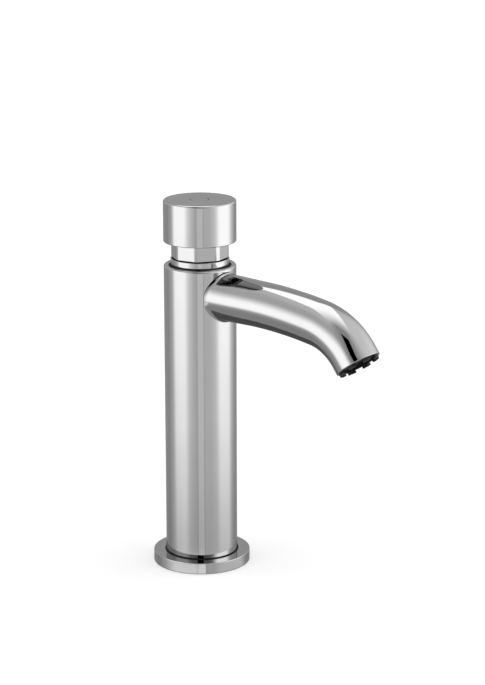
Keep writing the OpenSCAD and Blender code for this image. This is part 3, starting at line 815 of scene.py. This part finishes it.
# Inlet and fixing under the deck
def thread_r(z, angle):
    """Radius of the shank's thread at a height and an angle, with its end chamfers and relief groove."""
    wave = math.cos(2 * math.pi * z / THREAD_PITCH - angle)
    r = SHANK_R - THREAD_DEPTH / 2 * (1 - wave)
    r = min(r, SHANK_R - THREAD_DEPTH + min(z - SHANK_Z, SHANK_TOP - z))
    return min(r, SHANK_R - RELIEF_DEPTH) if RELIEF_Z < z < RELIEF_TOP else r


def make_shank():
    """Inlet shank with its half-inch pipe thread, its bore and the step that the strainer lies on."""
    segments = 64
    rows_per_turn = 10
    angles = [2 * math.pi * j / segments for j in range(segments)]
    count = round((SHANK_TOP - SHANK_Z) / THREAD_PITCH * rows_per_turn)
    heights = [SHANK_Z + (SHANK_TOP - SHANK_Z) * i / count for i in range(count + 1)]
    rows = [[(thread_r(z, a), z) for a in angles] for z in heights]
    inside = [
        (SHANK_BORE_R, SHANK_TOP),
        (SHANK_BORE_R, SHANK_Z + STRAINER_T),
        (STRAINER_R, SHANK_Z + STRAINER_T),
        (STRAINER_R, SHANK_Z),
    ]
    rows += [[place] * segments for place in inside]
    points, rings = [], []
    for row in rows:
        start = len(points)
        points += [(r * math.cos(a), r * math.sin(a), z) for a, (r, z) in zip(angles, row)]
        rings.append(list(range(start, len(points))))
    return new_mesh("threaded_shank", points, join_rings(rings, True), COIL_SHARP_ANGLE)


def make_washer(name, r, low, high):
    """Flat washer on the shank."""
    inner = SHANK_R + WASHER_CLEAR
    return turned(name, [
        (inner, low),
        (r, low, WASHER_EDGE),
        (r, high, WASHER_EDGE),
        (inner, high),
    ])


def make_nut():
    """Hexagon backnut with chamfered corners."""
    pitch = 2 * math.pi / NUT_SIDES
    face_r = NUT_CORNER_R * math.cos(pitch / 2) - NUT_FACE_INSET
    bore_r = SHANK_R + FIT
    chamfer = (NUT_CORNER_R - face_r) * math.tan(pitch / 2)
    nut = turned("hex_nut", [
        (bore_r, NUT_Z + NUT_EDGE),
        (bore_r + NUT_EDGE, NUT_Z),
        (face_r, NUT_Z),
        (NUT_CORNER_R, NUT_Z + chamfer),
        (NUT_CORNER_R, STEEL_WASHER_Z - chamfer),
        (face_r, STEEL_WASHER_Z),
        (bore_r + NUT_EDGE, STEEL_WASHER_Z),
        (bore_r, STEEL_WASHER_Z - NUT_EDGE),
    ])
    angles = [i * pitch for i in range(NUT_SIDES)]
    corners = [(NUT_CORNER_R * math.cos(a), NUT_CORNER_R * math.sin(a)) for a in angles]
    points = [(x, y, z) for z in (NUT_Z - OVERCUT, STEEL_WASHER_Z + OVERCUT) for x, y in corners]
    low = list(range(NUT_SIDES))
    high = list(range(NUT_SIDES, 2 * NUT_SIDES))
    prism = new_mesh("prism", points, [low[::-1], high] + join_rings([low, high], False))
    return cut(nut, prism, "INTERSECT")


# Cartridge's head and button
def make_head():
    """Head of the cartridge: plain skirt at the thread's radius, round collar and octagon."""
    collar_top = COLLAR_Z + COLLAR_H
    ring_z = (COLLAR_Z + HEAD_TOP - STEM_RING_H) / 2
    return turned("head", [
        (BARREL_R + FIT, SKIRT_Z),
        (HEAD_THREAD_R, SKIRT_Z),
        (HEAD_THREAD_R, COLLAR_Z),
        (COLLAR_R, COLLAR_Z, COLLAR_EDGE),
        (COLLAR_R, collar_top, COLLAR_EDGE),
        (NECK_R, collar_top),
        (NECK_R, collar_top + NECK_H),
        (OCTAGON_LAND_R, collar_top + NECK_H, OCTAGON_EDGE, True),
        (OCTAGON_LAND_R, HEAD_TOP, OCTAGON_EDGE, True),
        (STEM_R + STEM_CLEAR, HEAD_TOP),
        (STEM_R + STEM_CLEAR, ring_z + STEM_RING_H),
        (STEM_RING_R, ring_z + STEM_RING_H),
        (STEM_RING_R, ring_z),
        (STEM_R + STEM_CLEAR, ring_z),
        (STEM_R + STEM_CLEAR, GUIDE_TOP),
        (GUIDE_R, GUIDE_TOP),
        (GUIDE_R, BARREL_TOP),
        (BARREL_R + FIT, BARREL_TOP),
    ], octagon_angles())


def make_head_seal():
    """Black ring between the body's mouth and the head's collar."""
    inner = HEAD_THREAD_R + SEAL_ROOM
    return turned("head_gasket", [
        (inner, SEAL_Z),
        (SEAL_R, SEAL_Z, SEAL_EDGE),
        (SEAL_R, COLLAR_Z, SEAL_EDGE),
        (inner, COLLAR_Z),
    ])


def make_button():
    """Round push button: skirt, boss for the stem and the hole for its plug."""
    roof = BUTTON_TOP - BUTTON_ROOF
    return turned("button", [
        (BUTTON_BORE_R, BUTTON_Z, BUTTON_INNER_EDGE),
        (BUTTON_R, BUTTON_Z, BUTTON_RIM_EDGE),
        (BUTTON_R, BUTTON_TOP, BUTTON_EDGE),
        (PLUG_R + PLUG_GAP, BUTTON_TOP, PLUG_EDGE),
        (PLUG_R + PLUG_GAP, SCREW_SEAT_Z),
        (SCREW_R, SCREW_SEAT_Z),
        (SCREW_R, STEM_TOP),
        (STEM_R + FIT, STEM_TOP),
        (STEM_R + FIT, BOSS_Z),
        (BUTTON_BOSS_R, BOSS_Z, BUTTON_INNER_EDGE),
        (BUTTON_BOSS_R, roof),
        (BUTTON_BORE_R, roof),
    ])


def make_plug():
    """Plug over the button's screw."""
    return turned("plug", [
        (0, PLUG_Z),
        (PLUG_R, PLUG_Z),
        (PLUG_R, BUTTON_TOP, PLUG_EDGE),
        (0, BUTTON_TOP),
    ])


def make_spring():
    """Return spring of round wire."""
    steps_per_turn = 32
    steps = steps_per_turn * SPRING_TURNS
    sides = 12
    low = SPRING_Z + SPRING_WIRE / 2
    rise = SPRING_TOP - SPRING_Z - SPRING_WIRE
    points, rings = [], []
    for i in range(steps + 1):
        turn = 2 * math.pi * SPRING_TURNS * i / steps
        start = len(points)
        for j in range(sides):
            side = 2 * math.pi * j / sides
            r = SPRING_R + SPRING_WIRE / 2 * math.cos(side)
            z = low + rise * i / steps + SPRING_WIRE / 2 * math.sin(side)
            points.append((r * math.cos(turn), r * math.sin(turn), z))
        rings.append(list(range(start, len(points))))
    ends = [rings[0], rings[-1][::-1]]
    return new_mesh("coil_spring", points, join_rings(rings, False) + ends, COIL_SHARP_ANGLE)


# Spout: the lengths of its stretches with the radius of their bend, and its whole length
SPOUT_STRETCHES = (
    (SPOUT_RUN, 0),
    (GENTLE_R * GENTLE_ANGLE, GENTLE_R),
    (TIGHT_R * TIGHT_ANGLE, TIGHT_R),
)
SPOUT_L = sum(length for length, bend_r in SPOUT_STRETCHES) + SPOUT_TIP_L


def spout_place(distance):
    """Point of the spout's axis at a distance along it, in the spout's own plane, and the tilt there."""
    x, z, tilt = 0, 0, 0
    for length, bend_r in SPOUT_STRETCHES:
        step = min(distance, length)
        if bend_r:
            turn = step / bend_r
            x += bend_r * (math.sin(tilt + turn) - math.sin(tilt))
            z -= bend_r * (math.cos(tilt) - math.cos(tilt + turn))
            tilt += turn
        else:
            x += step
        distance -= step
    return x + distance * math.cos(tilt), z - distance * math.sin(tilt), tilt


def spout_ring(r, distance, on_body):
    """Ring of points round the spout's axis, at a distance along it or from the body's surface."""
    points = []
    for j in range(SEGMENTS):
        angle = 2 * math.pi * j / SEGMENTS
        side, rise = r * math.cos(angle), r * math.sin(angle)
        along = distance + (math.sqrt((BODY_R + JOINT_GAP) ** 2 - side ** 2) if on_body else 0)
        x, z, tilt = spout_place(along)
        points.append((side, -x - rise * math.sin(tilt), SPOUT_Z + z + rise * math.cos(tilt)))
    return points


def spout_r(distance):
    """Outer radius of the spout at a distance along its axis."""
    return SPOUT_ROOT_R + (SPOUT_TIP_R - SPOUT_ROOT_R) * min(1, distance / SPOUT_RUN)


def make_spout():
    """Spout: spigot, root that follows the body, bent skin, lip, aerator's recess and bore."""
    groove_low = SPIGOT_GROOVE_X - SPIGOT_GROOVE_W / 2
    groove_high = SPIGOT_GROOVE_X + SPIGOT_GROOVE_W / 2
    rows = [
        (SPIGOT_BORE_R, CAVITY_R, False),
        (SPIGOT_R, CAVITY_R, False),
        (SPIGOT_R, groove_low, False),
        (SPIGOT_GROOVE_R, groove_low, False),
        (SPIGOT_GROOVE_R, groove_high, False),
        (SPIGOT_R, groove_high, False),
        (SPIGOT_R, 0, True),
    ]
    skin_r = spout_r(BODY_R)
    root_r = skin_r + ROOT_FLARE
    quarter = [math.pi / 2 * i / ARC_STEPS for i in range(ARC_STEPS + 1)]
    rows.append((root_r - ROOT_EDGE - SUPPORT, 0, True))
    for a in quarter:
        rows.append((root_r - ROOT_EDGE * (1 - math.sin(a)), ROOT_EDGE * (1 - math.cos(a)), True))
    for i in range(1, ARC_STEPS + 1):
        share = i / ARC_STEPS
        rows.append((skin_r + ROOT_FLARE * (1 - share) ** 2, ROOT_EDGE + ROOT_FLARE_L * share, True))
    skin_start = BODY_R + ROOT_FLARE_L + SKIN_OFFSET
    lip_start = SPOUT_L - LIP_EDGE - SUPPORT
    skin_steps = 120
    for i in range(skin_steps + 1):
        distance = skin_start + (lip_start - skin_start) * i / skin_steps
        rows.append((spout_r(distance), distance, False))
    for a in quarter:
        lip_r = SPOUT_TIP_R - LIP_EDGE * (1 - math.cos(a))
        rows.append((lip_r, SPOUT_L - LIP_EDGE * (1 - math.sin(a)), False))
    rows += [
        (RECESS_R, SPOUT_L, False),
        (RECESS_R, SPOUT_L - RECESS_DEPTH, False),
        (SPOUT_BORE_R, SPOUT_L - RECESS_DEPTH, False),
    ]
    bore_steps = 60
    bore_end = SPOUT_L - RECESS_DEPTH
    for i in range(1, bore_steps + 1):
        rows.append((SPOUT_BORE_R, bore_end + (SPOUT_BORE_X - bore_end) * i / bore_steps, False))
    rows.append((SPIGOT_BORE_R, SPOUT_BORE_X, False))
    points, rings = [], []
    for row in rows:
        start = len(points)
        points += spout_ring(*row)
        rings.append(list(range(start, len(points))))
    return new_mesh("spout_tube", points, join_rings(rings, True))


def make_aerator():
    """Notched ring that holds the aerator in the outlet."""
    aerator = turned("aerator_ring", [
        (INSERT_R + FIT, -AERATOR_DEPTH),
        (AERATOR_R, -AERATOR_DEPTH),
        (AERATOR_R, AERATOR_STAND, AERATOR_EDGE),
        (LEDGE_R, AERATOR_STAND, AERATOR_EDGE),
        (LEDGE_R, -INSERT_INSET),
        (INSERT_R + FIT, -INSERT_INSET),
    ])
    points, faces = [], []
    for i in range(NOTCHES):
        turn = Matrix.Rotation(2 * math.pi * i / NOTCHES, 3, "Z")
        start = len(points)
        for z in (AERATOR_STAND - NOTCH_DEPTH, AERATOR_STAND + OVERCUT):
            for x, y in ((-1, -1), (1, -1), (1, 1), (-1, 1)):
                reach = AERATOR_R + OVERCUT if x > 0 else LEDGE_R - OVERCUT
                points.append(turn @ Vector((reach, y * NOTCH_W / 2, z)))
        low = list(range(start, start + 4))
        high = list(range(start + 4, start + 8))
        faces += [low[::-1], high] + join_rings([low, high], False)
    cut(aerator, new_mesh("notches", points, faces))
    x, z, tilt = spout_place(SPOUT_L)
    lean = Matrix.Rotation(math.pi / 2 + tilt, 4, "X")
    aerator.data.transform(Matrix.Translation(Vector((0, -x, SPOUT_Z + z)) * MM) @ lean)
    return aerator


finish_piece(make_flange(), "tap", "chrome", "base_flange")
finish_piece(make_base_ring(), "tap", "black_rubber", "base_seal")
finish_piece(make_pillar(), "tap", "chrome", "body")
finish_piece(make_shank(), "tap", "brass", "inlet_shank")
rubber_washer = make_washer("rubber_washer", RUBBER_WASHER_R, RUBBER_WASHER_Z, RUBBER_WASHER_TOP)
finish_piece(rubber_washer, "tap", "black_rubber", "fixing_gasket")
steel_washer = make_washer("steel_washer", STEEL_WASHER_R, STEEL_WASHER_Z, RUBBER_WASHER_Z)
finish_piece(steel_washer, "tap", "steel", "fixing_washer")
finish_piece(make_nut(), "tap", "brass", "backnut")
finish_piece(make_head(), "tap", "chrome", "cartridge_head")
finish_piece(make_head_seal(), "tap", "black_rubber", "head_seal")
finish_piece(make_button(), "plunger", "chrome", "push_button")
finish_piece(make_plug(), "plunger", "chrome", "button_plug")
spring = finish_piece(make_spring(), "tap", "steel", "return_spring")
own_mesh(spring)
finish_piece(make_spout(), "tap", "chrome", "spout")
finish_piece(make_aerator(), "tap", "black_plastic", "aerator_housing")

bpy.context.scene.view_settings.view_transform = "Standard"
